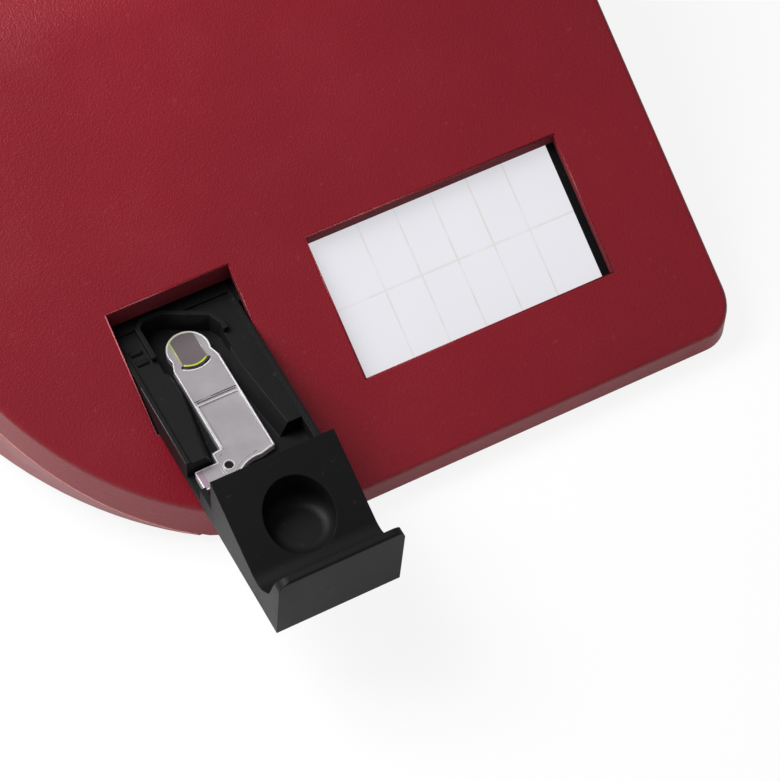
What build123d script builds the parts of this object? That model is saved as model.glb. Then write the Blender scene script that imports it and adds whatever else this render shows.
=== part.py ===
from build123d import *
import math
import os

os.makedirs("parts", exist_ok=True)

# A desk photometer that reads a blood cuvette. Millimetres, Z up, the operator sits at -Y.
# Sizes are laid out from the middle of the body. The saved parts are moved forward to back
# by desk_shift, so that their origin lies on the desk under the middle of the whole object.
# The drawer is drawn pulled out.

# Body envelope
desk_shift = 14.0
side_x = 83.4
half_y = 80.0
big_r = 73.2
front_r = 8.0
rear_r = 20.0
floor_z = 2.5
floor_t = 2.2
wall = 2.6
roof_slope = 30.0
rear_slope = 8.0
roof_y = -34.4
roof_z = 34.1
crest_z = 69.5
crest_r = 40.0
seam_depth = 8.5
seam_gap = 0.5
edge_r = 1.2

# Fits
run_fit = 0.08
seat_fit = 0.05
loose = 0.3

# Display window, cut straight down through the sloped roof
window_x = (-0.5, 61.0)
window_y = (-61.6, -33.0)
panel_depth = 3.3
panel_t = 1.2
panel_right = 59.3

# Drawer and its slot
drawer_x = -32.5
drawer_w = 28.0
drawer_front = -110.0
drawer_rear = -8.0
drawer_z = 22.2
drawer_floor = 1.6
drawer_wall = 1.4
wall_top = 28.7
travel = 48.0
slot_w = 29.0
slot_rear = -32.1
slot_front = -55.9
block_rear = -80.6
block_top = 37.9
trough_z = 27.9
lip_top = 42.2
lip_r = 2.4
shelf_end = -69.3
eye_y = -42.0
eye_d = 4.2
pocket_w = 15.6
closed_eye = eye_y + travel

# Boards, battery and screws
tab_z = 19.0
board_z = 12.0
board_t = 1.6
cell_d = 14.2
cell_l = 50.0
cell_pitch = 15.2
m3 = 2.9
case_bosses = [(-64, -18), (76, -52), (-74, half_y - 34), (77, half_y - 40)]
guide_tabs = [(-54, -24), (-11, -24), (-54, 38), (-11, 38)]
rear_in = half_y - wall
cell_mid = rear_in - 1.2 - cell_l / 2
bay_front = cell_mid - cell_l / 2 - 4.2
board_y = bay_front - 25
board_holes = [(x, board_y + y) for x in (0, 72) for y in (-17, 17)]
io_holes = [(-62, half_y - 24), (-9, half_y - 24), (-62, half_y - 10), (-9, half_y - 10)]
feet = [(-47, -44), (64, -62), (-66, half_y - 20), (66, half_y - 20)]

rise = math.tan(math.radians(roof_slope))
fall = math.tan(math.radians(rear_slope))
crest_y = roof_y + (crest_z - roof_z) / rise


def roof_at(y):
    return roof_z + (y - roof_y) * rise


def under_roof(depth):
    # Everything below the roof line once that line is sunk by a depth square to itself
    low = roof_z - depth / math.cos(math.radians(roof_slope))
    high = crest_z - depth / math.cos(math.radians(rear_slope))
    y = (high - low + rise * roof_y + fall * crest_y) / (rise + fall)
    z = low + rise * (y - roof_y)
    with BuildSketch(Plane.YZ) as area:
        with BuildLine():
            Polyline(
                (-120, low + rise * (-120 - roof_y)),
                (y, z),
                (120, high - fall * (120 - crest_y)),
                (120, -60),
                (-120, -60),
                close=True,
            )
        make_face()
        fillet(area.vertices().sort_by(Axis.Y)[-1], crest_r - depth)
    return area.sketch


with BuildSketch() as outline:
    Rectangle(2 * side_x, 2 * half_y)
    front = outline.vertices().sort_by(Axis.Y)[:2].sort_by(Axis.X)
    rear = outline.vertices().sort_by(Axis.Y)[2:]
    fillet(front[0], big_r)
    fillet(outline.vertices().sort_by(Axis.Y)[:3].sort_by(Axis.X)[-1], front_r)
    fillet(outline.vertices().sort_by(Axis.Y)[-2:], rear_r)


def inset(amount):
    with BuildSketch() as smaller:
        add(outline.sketch)
        offset(amount=-amount)
    return smaller.sketch


def column(shape, low, high):
    with BuildPart() as solid:
        with BuildSketch(Plane.XY.offset(low)):
            add(shape)
        extrude(amount=high - low)
    return solid.part


# The lower wall stands square to the sloped seam, so it draws in under the front corner
seam_low = (seam_depth + seam_gap) / math.cos(math.radians(roof_slope))
seam_plane = Plane(
    origin=(0, roof_y, roof_z - seam_low),
    x_dir=(1, 0, 0),
    z_dir=(0, -math.sin(math.radians(roof_slope)), math.cos(math.radians(roof_slope))),
)
down_slope = (0, math.sin(math.radians(roof_slope)), -math.cos(math.radians(roof_slope)))
seam_outer = section(column(outline.sketch, -30, 130), section_by=seam_plane)
seam_inner = section(column(inset(wall), -30, 130), section_by=seam_plane)

# Blocks and side views that the shells are cut from
over_all = 82.0
body_block = column(outline.sketch, floor_z, over_all)
cavity_block = column(inset(wall), floor_z - 1, over_all)
tub_block = column(inset(wall), floor_z + floor_t, over_all)
under_top = under_roof(0)
under_skin = under_roof(wall)
under_seam = under_roof(seam_depth)
under_gap = under_roof(seam_depth + seam_gap)

with BuildPart() as hull:
    add(body_block)
    extrude(under_top, amount=100, both=True, mode=Mode.INTERSECT)
    roof_faces = hull.faces().filter_by(lambda f: f.normal_at().Z > 0.3)
    rim = [e for e in hull.edges() if sum(e in f.edges() for f in roof_faces) == 1]
    fillet(rim, edge_r)


def box(x0, x1, y0, y1, z0, z1, mode=Mode.ADD):
    with Locations(((x0 + x1) / 2, (y0 + y1) / 2, (z0 + z1) / 2)):
        Box(x1 - x0, y1 - y0, z1 - z0, mode=mode)


def rods(points, radius, low, high, mode=Mode.ADD):
    with Locations(*[(x, y, (low + high) / 2) for x, y in points]):
        Cylinder(radius, high - low, mode=mode)


# The display stack lies parallel to the roof, measured by its depth under it
window_mid = ((window_x[0] + window_x[1]) / 2, (window_y[0] + window_y[1]) / 2)
panel_plane = Plane(
    origin=(window_mid[0], window_mid[1], roof_at(window_mid[1])),
    x_dir=(1, 0, 0),
    z_dir=seam_plane.z_dir,
)
depth_axis = Axis((0, 0, 0), tuple(panel_plane.z_dir))
panel_left = -1.5 - window_mid[0]
panel_right_u = panel_right - window_mid[0]
display_holes = [(-39.4, -15), (38, -15), (-39.4, 13), (38, 13)]


def slab(low, high, u0, u1, v0, v1, mode=Mode.ADD):
    with Locations(panel_plane.offset(-(low + high) / 2)):
        with Locations(((u0 + u1) / 2, (v0 + v1) / 2)):
            Box(u1 - u0, v1 - v0, high - low, mode=mode)


def slope_rods(points, radius, low, high, mode=Mode.ADD):
    with Locations(panel_plane.offset(-(low + high) / 2)):
        with Locations(*points):
            Cylinder(radius, high - low, mode=mode)


on_desk = Location((0, desk_shift, 0))
slot_x = (drawer_x - slot_w / 2, drawer_x + slot_w / 2)

with BuildPart() as cavity:
    add(cavity_block)
    extrude(under_skin, amount=100, both=True, mode=Mode.INTERSECT)
    rods(case_bosses, 3.4, board_z + 0.1, over_all, mode=Mode.SUBTRACT)
    slope_rods(display_holes, 3.0, 0, 7.5, mode=Mode.SUBTRACT)
    box(slot_x[0] - 2, slot_x[1] + 2, slot_rear, slot_rear + 1.8, 30.0, 50, mode=Mode.SUBTRACT)

with BuildPart() as boss_stubs:
    rods(case_bosses, 3.4, board_z + 0.1, 80)
    extrude(under_skin, amount=100, both=True, mode=Mode.INTERSECT)

with BuildPart() as top_shell:
    add(hull.part)
    add(cavity.part, mode=Mode.SUBTRACT)
    extrude(under_seam, amount=100, both=True, mode=Mode.SUBTRACT)
    add(boss_stubs.part)
    rods(case_bosses, m3 / 2 + seat_fit, board_z - 1, 19.5, mode=Mode.SUBTRACT)
    slope_rods(display_holes, 1.15, 4.0, 8.0, mode=Mode.SUBTRACT)
    box(*slot_x, slot_front, slot_rear, 0, 60, mode=Mode.SUBTRACT)
    box(*window_x, *window_y, 0, 60, mode=Mode.SUBTRACT)
top_shell.part.label = "top_shell"
export_step(top_shell.part.moved(on_desk), "parts/top_shell.step")

# The lower shell is a tub whose floor runs on to the front inside the top shell. A tongue
# inside the seam stands on a root that joins it to the wall.
tongue = 1.35
floor_block = column(inset(wall + loose), floor_z, floor_z + floor_t)
tongue_block = column(inset(wall + loose / 2), floor_z, over_all)
root_block = column(inset(wall - 0.2), floor_z, over_all)
inner_block = column(inset(wall + loose / 2 + tongue), floor_z, over_all)
under_tip = under_roof(seam_depth - 3)
under_root = under_roof(seam_depth + 3.5)

with BuildPart() as tub_room:
    add(tub_block)
    extrude(seam_inner, amount=120, dir=down_slope, mode=Mode.INTERSECT)

with BuildPart() as tub_front:
    add(floor_block)
    box(-90, 90, -66, 90, 0, 60, mode=Mode.SUBTRACT)

with BuildPart() as tub_rim:
    add(tongue_block)
    add(inner_block, mode=Mode.SUBTRACT)
    extrude(under_tip, amount=100, both=True, mode=Mode.INTERSECT)
    extrude(under_root, amount=100, both=True, mode=Mode.SUBTRACT)
    rods(case_bosses, 3.8, floor_z, 80, mode=Mode.SUBTRACT)

with BuildPart() as rim_root:
    add(root_block)
    add(inner_block, mode=Mode.SUBTRACT)
    extrude(under_gap, amount=100, both=True, mode=Mode.INTERSECT)
    extrude(under_root, amount=100, both=True, mode=Mode.SUBTRACT)
    rods(case_bosses, 3.8, floor_z, 80, mode=Mode.SUBTRACT)

bay_z = (5.65, 22.4)
door_x = (-1.5, 58.5)
door_z = (6.4, 22.0)
jack_x, usb_x, switch_x = -54.0, -37.0, -16.5
jack_z, usb_z, switch_z = 19.2, 19.2, 36.0
rear_cut = (rear_in - 5, half_y + 5)
door_cut_x = (door_x[0] - loose, door_x[1] + loose)
door_cut_z = (door_z[0] - loose, door_z[1] + loose)

with BuildPart() as bottom_shell:
    add(body_block)
    extrude(under_gap, amount=100, both=True, mode=Mode.INTERSECT)
    extrude(seam_outer, amount=120, dir=down_slope, mode=Mode.INTERSECT)
    add(tub_room.part, mode=Mode.SUBTRACT)
    add(tub_front.part)
    add(tub_rim.part)
    add(rim_root.part)
    rods(case_bosses, 4.4, floor_z, board_z)
    rods(guide_tabs, 3.6, floor_z, tab_z)
    rods(board_holes + io_holes, 3.0, floor_z, board_z)
    # Battery bay floor rails
    box(*door_x, bay_front + 8, bay_front + 10, floor_z, bay_z[0] - 0.05)
    box(*door_x, rear_in - 11.4, rear_in - 9.4, floor_z, bay_z[0] - 0.05)
    rods(case_bosses, 3.2, 0, 5.4, mode=Mode.SUBTRACT)
    rods(case_bosses, 1.6, 0, 20, mode=Mode.SUBTRACT)
    rods(guide_tabs, m3 / 2 + seat_fit, 9, 30, mode=Mode.SUBTRACT)
    rods(board_holes + io_holes, 1.25, 6, 30, mode=Mode.SUBTRACT)
    rods(feet, 6 + seat_fit, 0, floor_z + 1.0, mode=Mode.SUBTRACT)
    # Rear wall: battery mouth, power inlet, data socket and switch
    box(*door_cut_x, *rear_cut, *door_cut_z, mode=Mode.SUBTRACT)
    with Locations((jack_x, half_y, jack_z)):
        Cylinder(4.4, 12, rotation=(90, 0, 0), mode=Mode.SUBTRACT)
    box(usb_x - 6.3, usb_x + 6.3, *rear_cut, usb_z - 5.7, usb_z + 5.7, mode=Mode.SUBTRACT)
    box(switch_x - 9.6, switch_x + 9.6, *rear_cut, switch_z - 6.5, switch_z + 6.5, mode=Mode.SUBTRACT)
    # Cooling slits
    with Locations(*[(x, half_y - 1, 38) for x in range(-58, -33, 6)]):
        Box(1.6, 12, 12, mode=Mode.SUBTRACT)
bottom_shell.part.label = "bottom_shell"
export_step(bottom_shell.part.moved(on_desk), "parts/bottom_shell.step")

with BuildPart() as rubber_feet:
    rods(feet, 6, 0, floor_z + 1.0)
    chamfer(rubber_feet.edges().group_by(Axis.Z)[0], 0.6)
rubber_feet.part.label = "rubber_feet"
export_step(rubber_feet.part.moved(on_desk), "parts/rubber_feet.step")

with BuildPart() as case_screws:
    rods(case_bosses, 2.8, 3.4, 5.35)
    rods(case_bosses, m3 / 2, 5.3, 19.0)
    chamfer(case_screws.edges().group_by(Axis.Z)[0], 0.4)
    rods(case_bosses, 1.1, 2.4, 4.4, mode=Mode.SUBTRACT)
case_screws.part.label = "case_screws"
export_step(case_screws.part.moved(on_desk), "parts/case_screws.step")

# Display stack
with BuildPart() as panel_gasket:
    slab(wall + 0.02, 3.15, -34, 32.8, -21.5, 17.6)
    slab(0, 5, -31.9, 31.3, -19.4, 15.7, mode=Mode.SUBTRACT)
panel_gasket.part.label = "panel_gasket"
export_step(panel_gasket.part.moved(on_desk), "parts/panel_gasket.step")

with BuildPart() as display_bezel:
    slab(3.2, 7.4, -36, 34.4, -23, 19)
    fillet(display_bezel.edges().filter_by(depth_axis), 2)
    slab(3.0, 4.55, panel_left - seat_fit, panel_right_u + seat_fit, -19.8, 16.0, mode=Mode.SUBTRACT)
    slab(3.0, 9, -30.4, 27.6, -18.2, 14.4, mode=Mode.SUBTRACT)
display_bezel.part.label = "display_bezel"
export_step(display_bezel.part.moved(on_desk), "parts/display_bezel.step")

with BuildPart() as touch_panel:
    slab(panel_depth, 4.5, panel_left, panel_right_u, -19.7, 15.9)
touch_panel.part.label = "touch_panel"
export_step(touch_panel.part.moved(on_desk), "parts/touch_panel.step")

with BuildPart() as lcd_module:
    slab(4.55, 7.3, -30.2, 27.4, -18.0, 14.2)
    fillet(lcd_module.edges().filter_by(depth_axis), 0.8)
lcd_module.part.label = "lcd_module"
export_step(lcd_module.part.moved(on_desk), "parts/lcd_module.step")

with BuildPart() as display_board:
    slab(7.5, 8.7, -42.6, 41.2, -18.4, 16.4)
    fillet(display_board.edges().filter_by(depth_axis), 2)
    slope_rods(display_holes, 1.3, 7, 9.5, mode=Mode.SUBTRACT)
display_board.part.label = "display_board"
export_step(display_board.part.moved(on_desk), "parts/display_board.step")

with BuildPart() as display_screws:
    slope_rods(display_holes, 1.1, 4.4, 8.75)
    slope_rods(display_holes, 2.1, 8.7, 10.0)
    with Locations(panel_plane.offset(-9.8)):
        with Locations(*display_holes):
            Box(2.6, 0.5, 0.6, mode=Mode.SUBTRACT)
            Box(0.5, 2.6, 0.6, mode=Mode.SUBTRACT)
display_screws.part.label = "display_screws"
export_step(display_screws.part.moved(on_desk), "parts/display_screws.step")

# Main board with its parts
top_of_board = board_z + board_t
with BuildPart() as main_board:
    box(-4, 76, board_y - 21, board_y + 21, board_z, top_of_board)
    fillet(main_board.edges().filter_by(Axis.Z), 2)
    rods(board_holes, 1.4, 5, 20, mode=Mode.SUBTRACT)
main_board.part.label = "main_board"
export_step(main_board.part.moved(on_desk), "parts/main_board.step")

with BuildPart() as board_screws:
    rods(board_holes + io_holes, 1.2, 7, top_of_board + 0.1)
    rods(board_holes + io_holes, 2.4, top_of_board, top_of_board + 1.6)
    with Locations(*[(x, y, top_of_board + 1.4) for x, y in board_holes + io_holes]):
        Box(3.0, 0.6, 0.6, mode=Mode.SUBTRACT)
        Box(0.6, 3.0, 0.6, mode=Mode.SUBTRACT)
board_screws.part.label = "board_screws"
export_step(board_screws.part.moved(on_desk), "parts/board_screws.step")

with BuildPart() as logic_chips:
    box(22, 36, board_y - 8, board_y + 6, top_of_board, top_of_board + 1.7)
    box(45, 55, board_y - 2, board_y + 8, top_of_board, top_of_board + 1.4)
    box(6, 14, board_y - 11, board_y - 3, top_of_board, top_of_board + 1.2)
    chamfer(logic_chips.faces().group_by(Axis.Z)[-1].edges(), 0.3)
logic_chips.part.label = "logic_chips"
export_step(logic_chips.part.moved(on_desk), "parts/logic_chips.step")

caps = [(66, board_y - 6), (66, board_y + 4), (8, board_y + 11), (17, board_y + 11)]
with BuildPart() as capacitors:
    rods(caps, 3.15, top_of_board, top_of_board + 7.5)
    chamfer(capacitors.edges().group_by(Axis.Z)[-1], 0.4)
capacitors.part.label = "capacitors"
export_step(capacitors.part.moved(on_desk), "parts/capacitors.step")

buzzer_spot = (38, board_y + 14)
with BuildPart() as buzzer:
    rods([buzzer_spot], 6, top_of_board, top_of_board + 6)
    chamfer(buzzer.edges().group_by(Axis.Z)[-1], 0.5)
    rods([buzzer_spot], 1.2, top_of_board + 3, top_of_board + 9, mode=Mode.SUBTRACT)
buzzer.part.label = "buzzer"
export_step(buzzer.part.moved(on_desk), "parts/buzzer.step")

ribbon_w = 16.0
ribbon_t = 0.24
socket_z = (top_of_board, top_of_board + 3.2)
ribbon_x = 30.0
plug_y = board_y - 15.75
plug_half = ribbon_w / 2 + 0.1
with BuildPart() as board_sockets:
    box(ribbon_x - ribbon_w / 2 - 2, ribbon_x + ribbon_w / 2 + 2, plug_y - 2.25, plug_y + 2.25, *socket_z)
    box(-2.5, 3.5, board_y - 5, board_y + 11, top_of_board, top_of_board + 5)
    box(
        ribbon_x - plug_half, ribbon_x + plug_half, plug_y - 0.35, plug_y + 0.35,
        top_of_board + 1, 30, mode=Mode.SUBTRACT,
    )
board_sockets.part.label = "board_sockets"
export_step(board_sockets.part.moved(on_desk), "parts/board_sockets.step")

# Flat display cable, bent once between the two boards
board_low = panel_plane.offset(-8.7) * Location((0, 12, 0))
end_y, end_z = board_low.position.Y, board_low.position.Z
with BuildPart() as display_cable:
    with BuildSketch(Plane.YZ.offset(ribbon_x - ribbon_w / 2)):
        with BuildLine() as path:
            Polyline(
                (plug_y, top_of_board + 1.2), (plug_y, 18), (end_y + 2.2, end_z - 3.6), (end_y, end_z - 0.3),
            )
            fillet(path.vertices().sort_by(Axis.Y)[1:3], 1.5)
        trace(line_width=ribbon_t)
    extrude(amount=ribbon_w)
display_cable.part.label = "display_cable"
export_step(display_cable.part.moved(on_desk), "parts/display_cable.step")

detector_spots = [(drawer_x - 8, closed_eye), (drawer_x + 3.2, closed_eye + 6.8)]
detector_x = (drawer_x - 11.5, drawer_x + 9.5)
detector_y = (closed_eye - 8, closed_eye + 9.5)

# Drawer guide: a channel on four tabs, with lips over the drawer's rear walls
half_w = drawer_w / 2
guide_in = half_w + run_fit
base_top = drawer_z - run_fit
wall_t = 2.9
lip_z = wall_top + 0.1
sensor_x, sensor_y = drawer_x - 6.5, 25.0
stop_x = drawer_x + 8.5
stop_y = -37.0
guide_out = guide_in + wall_t
lamp_x = guide_in + wall_t / 2
lamp_screw_spots = [(drawer_x + s * lamp_x, closed_eye + y) for s in (-1, 1) for y in (-9, 9)]
spring_x = drawer_x - 9.0
spring_spot = (spring_x, -34)
with BuildPart() as drawer_guide:
    box(drawer_x - guide_out, drawer_x + guide_out, -46, 46, tab_z, base_top)
    with BuildSketch(Plane.XY.offset(tab_z)):
        with Locations(*guide_tabs):
            Circle(4.5)
        with Locations((-51, -24), (-14, -24), (-51, 38), (-14, 38)):
            Rectangle(6, 9)
    extrude(amount=base_top - tab_z)
    for side in (-1, 1):
        outer = drawer_x + side * guide_out
        inner = drawer_x + side * guide_in
        low, high = min(outer, inner), max(outer, inner)
        box(low, high, -37.5, 46, base_top, lip_z)
        tip = drawer_x + side * (half_w - 1.3)
        box(min(outer, tip), max(outer, tip), -29, 46, lip_z, lip_z + 2.0)
    box(drawer_x - guide_out, drawer_x + guide_out, 43, 46, base_top, lip_z)
    rods(guide_tabs, 1.6, 15, 25, mode=Mode.SUBTRACT)
    # Light path, end stop slot, sensor window and spring window
    rods([(drawer_x, closed_eye)], 3.0, 15, 25, mode=Mode.SUBTRACT)
    box(stop_x - 2.9, stop_x + 2.9, stop_y - 2.9, stop_y + travel + 2.9, 15, 25, mode=Mode.SUBTRACT)
    box(sensor_x - 3.1, sensor_x + 3.1, sensor_y - 2.1, sensor_y + 2.1, 15, 25, mode=Mode.SUBTRACT)
    box(spring_x - 1.5, spring_x + 1.5, -27.5, -11.5, 15, 25, mode=Mode.SUBTRACT)
    rods(detector_spots, 1.05, 15, 21.5, mode=Mode.SUBTRACT)
    rods(lamp_screw_spots, 1.05, 25, 40, mode=Mode.SUBTRACT)
    rods([spring_spot], 1.05, 15, 21, mode=Mode.SUBTRACT)
drawer_guide.part.label = "drawer_guide"
export_step(drawer_guide.part.moved(on_desk), "parts/drawer_guide.step")

with BuildPart() as guide_screws:
    rods(guide_tabs, m3 / 2, 10, base_top + 0.1)
    rods(guide_tabs, 2.8, base_top, base_top + 2.0)
    with Locations(*[(x, y, base_top + 1.7) for x, y in guide_tabs]):
        Box(3.4, 0.7, 0.8, mode=Mode.SUBTRACT)
        Box(0.7, 3.4, 0.8, mode=Mode.SUBTRACT)
guide_screws.part.label = "guide_screws"
export_step(guide_screws.part.moved(on_desk), "parts/guide_screws.step")

# Leaf spring whose nose rides in a groove under the drawer
with BuildPart() as detent_spring:
    with BuildSketch(Plane.YZ.offset(spring_x - 1.2)):
        with BuildLine():
            Polyline((-36.5, 18.75), (-27, 18.75), (-21, 20.2), (-17.6, 22.45), (-14.2, 20.4), (-13, 20.9))
        trace(line_width=0.4)
    extrude(amount=2.4)
    rods([spring_spot], 2.0, 18.55, 18.95)
    rods([spring_spot], 1.0, 15, 25, mode=Mode.SUBTRACT)
detent_spring.part.label = "detent_spring"
export_step(detent_spring.part.moved(on_desk), "parts/detent_spring.step")

with BuildPart() as spring_screw:
    rods([spring_spot], 0.95, 17.5, 20.8)
    rods([spring_spot], 1.9, 17.2, 18.5)
spring_screw.part.label = "spring_screw"
export_step(spring_screw.part.moved(on_desk), "parts/spring_screw.step")

with BuildPart() as position_sensor:
    box(sensor_x - 3, sensor_x + 3, sensor_y - 2, sensor_y + 2, 17.4, 21.8)
    rods([(sensor_x - 1.4, sensor_y), (sensor_x + 1.4, sensor_y)], 0.8, 21.0, 22.5, mode=Mode.SUBTRACT)
position_sensor.part.label = "position_sensor"
export_step(position_sensor.part.moved(on_desk), "parts/position_sensor.step")

# Light source over the closed eye, detector under it
lamp_low = lip_z + 2.0
lamp_flange_x = (drawer_x - lamp_x - 2.6, drawer_x + lamp_x + 2.6)
light_axis = [(drawer_x, closed_eye)]
lamp_board_spots = [(drawer_x - 6.5, closed_eye), (drawer_x + 6.5, closed_eye)]
with BuildPart() as lamp_housing:
    box(*lamp_flange_x, closed_eye - 12, closed_eye + 12, lamp_low + 0.02, lamp_low + 5)
    box(drawer_x - 9, drawer_x + 9, closed_eye - 9, closed_eye + 9, lamp_low + 4, lamp_low + 13)
    fillet(lamp_housing.edges().filter_by(Axis.Z), 1.5)
    rods(light_axis, 4.05, lamp_low - 1, lamp_low + 4.1, mode=Mode.SUBTRACT)
    rods(light_axis, 2.6, lamp_low, lamp_low + 20, mode=Mode.SUBTRACT)
    rods(light_axis, 3.1, lamp_low + 10, lamp_low + 20, mode=Mode.SUBTRACT)
    rods(lamp_screw_spots, 1.3, lamp_low - 2, lamp_low + 9, mode=Mode.SUBTRACT)
    rods(lamp_board_spots, 1.0, lamp_low + 8, lamp_low + 20, mode=Mode.SUBTRACT)
lamp_housing.part.label = "lamp_housing"
export_step(lamp_housing.part.moved(on_desk), "parts/lamp_housing.step")

with BuildPart() as lamp_screws:
    rods(lamp_screw_spots, 1.0, 26, lamp_low + 5.1)
    rods(lamp_screw_spots, 2.0, lamp_low + 5.02, lamp_low + 6.6)
lamp_screws.part.label = "lamp_screws"
export_step(lamp_screws.part.moved(on_desk), "parts/lamp_screws.step")

with BuildPart() as condenser_lens:
    rods(light_axis, 4.0, lamp_low + 1.0, lamp_low + 3.9)
    with Locations((drawer_x, closed_eye, lamp_low + 3.9 - 7)):
        Sphere(7, mode=Mode.INTERSECT)
condenser_lens.part.label = "condenser_lens"
export_step(condenser_lens.part.moved(on_desk), "parts/condenser_lens.step")

with BuildPart() as lens_ring:
    rods(light_axis, 4.03, lamp_low + 0.1, lamp_low + 0.95)
    rods(light_axis, 2.8, 0, 60, mode=Mode.SUBTRACT)
lens_ring.part.label = "lens_ring"
export_step(lens_ring.part.moved(on_desk), "parts/lens_ring.step")

with BuildPart() as lamp_led:
    rods(light_axis, 2.5, lamp_low + 7, lamp_low + 10.5)
    chamfer(lamp_led.edges().group_by(Axis.Z)[0], 1.2)
    rods(light_axis, 3.0, lamp_low + 10.05, lamp_low + 11.2)
    rods([(drawer_x - 1.27, closed_eye), (drawer_x + 1.27, closed_eye)], 0.3, lamp_low + 11, lamp_low + 13)
lamp_led.part.label = "lamp_led"
export_step(lamp_led.part.moved(on_desk), "parts/lamp_led.step")

with BuildPart() as lamp_board:
    box(drawer_x - 9, drawer_x + 9, closed_eye - 8, closed_eye + 8, lamp_low + 13.02, lamp_low + 14.6)
    rods(lamp_board_spots, 1.2, 30, 60, mode=Mode.SUBTRACT)
lamp_board.part.label = "lamp_board"
export_step(lamp_board.part.moved(on_desk), "parts/lamp_board.step")

with BuildPart() as lamp_board_screws:
    rods(lamp_board_spots, 0.95, lamp_low + 9, lamp_low + 14.7)
    rods(lamp_board_spots, 1.8, lamp_low + 14.6, lamp_low + 16)
lamp_board_screws.part.label = "lamp_board_screws"
export_step(lamp_board_screws.part.moved(on_desk), "parts/lamp_board_screws.step")

with BuildPart() as detector_housing:
    box(*detector_x, *detector_y, 10.2, tab_z - 0.02)
    fillet(detector_housing.edges().filter_by(Axis.Z), 1.5)
    rods(light_axis, 2.6, 9, 20, mode=Mode.SUBTRACT)
    rods(light_axis, 4.3, 9, 13.1, mode=Mode.SUBTRACT)
    rods(detector_spots, 1.2, 9, 20, mode=Mode.SUBTRACT)
detector_housing.part.label = "detector_housing"
export_step(detector_housing.part.moved(on_desk), "parts/detector_housing.step")

with BuildPart() as photodiode:
    rods(light_axis, 4.2, 10.2, 12.9)
    rods(light_axis, 1.6, 12.3, 14, mode=Mode.SUBTRACT)
photodiode.part.label = "photodiode"
export_step(photodiode.part.moved(on_desk), "parts/photodiode.step")

with BuildPart() as detector_board:
    box(*detector_x, *detector_y, 8.6, 10.18)
    fillet(detector_board.edges().filter_by(Axis.Z), 1.0)
    rods(detector_spots, 1.2, 5, 20, mode=Mode.SUBTRACT)
detector_board.part.label = "detector_board"
export_step(detector_board.part.moved(on_desk), "parts/detector_board.step")

with BuildPart() as detector_screws:
    rods(detector_spots, 0.97, 8.5, 21.2)
    rods(detector_spots, 2.0, 7.2, 8.58)
detector_screws.part.label = "detector_screws"
export_step(detector_screws.part.moved(on_desk), "parts/detector_screws.step")

# The drawer, pulled out. Its pocket funnels the cuvette to the jaws beside the eye
cuvette_w = 10.6
cuvette_t = 1.5
tip_y = -36.9
x0, x1 = drawer_x - half_w, drawer_x + half_w
floor_top = drawer_z + drawer_floor
shelf_z = 28.1
jaw = cuvette_w / 2 + run_fit
wing_y = (-75.4, shelf_end)
pin_spot = (drawer_x - 5.3, -71.4)
bowl_y = -92.6
lip_corners = [(drawer_x + s * (half_w - lip_r / 2 + 0.1), lip_top - lip_r / 2 + 0.1) for s in (-1, 1)]
with BuildPart() as finger_bowl:
    rods([(drawer_x, bowl_y)], 7.5, 27.0, 60)
    fillet(finger_bowl.edges().group_by(Axis.Z)[0], 3.0)

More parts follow.
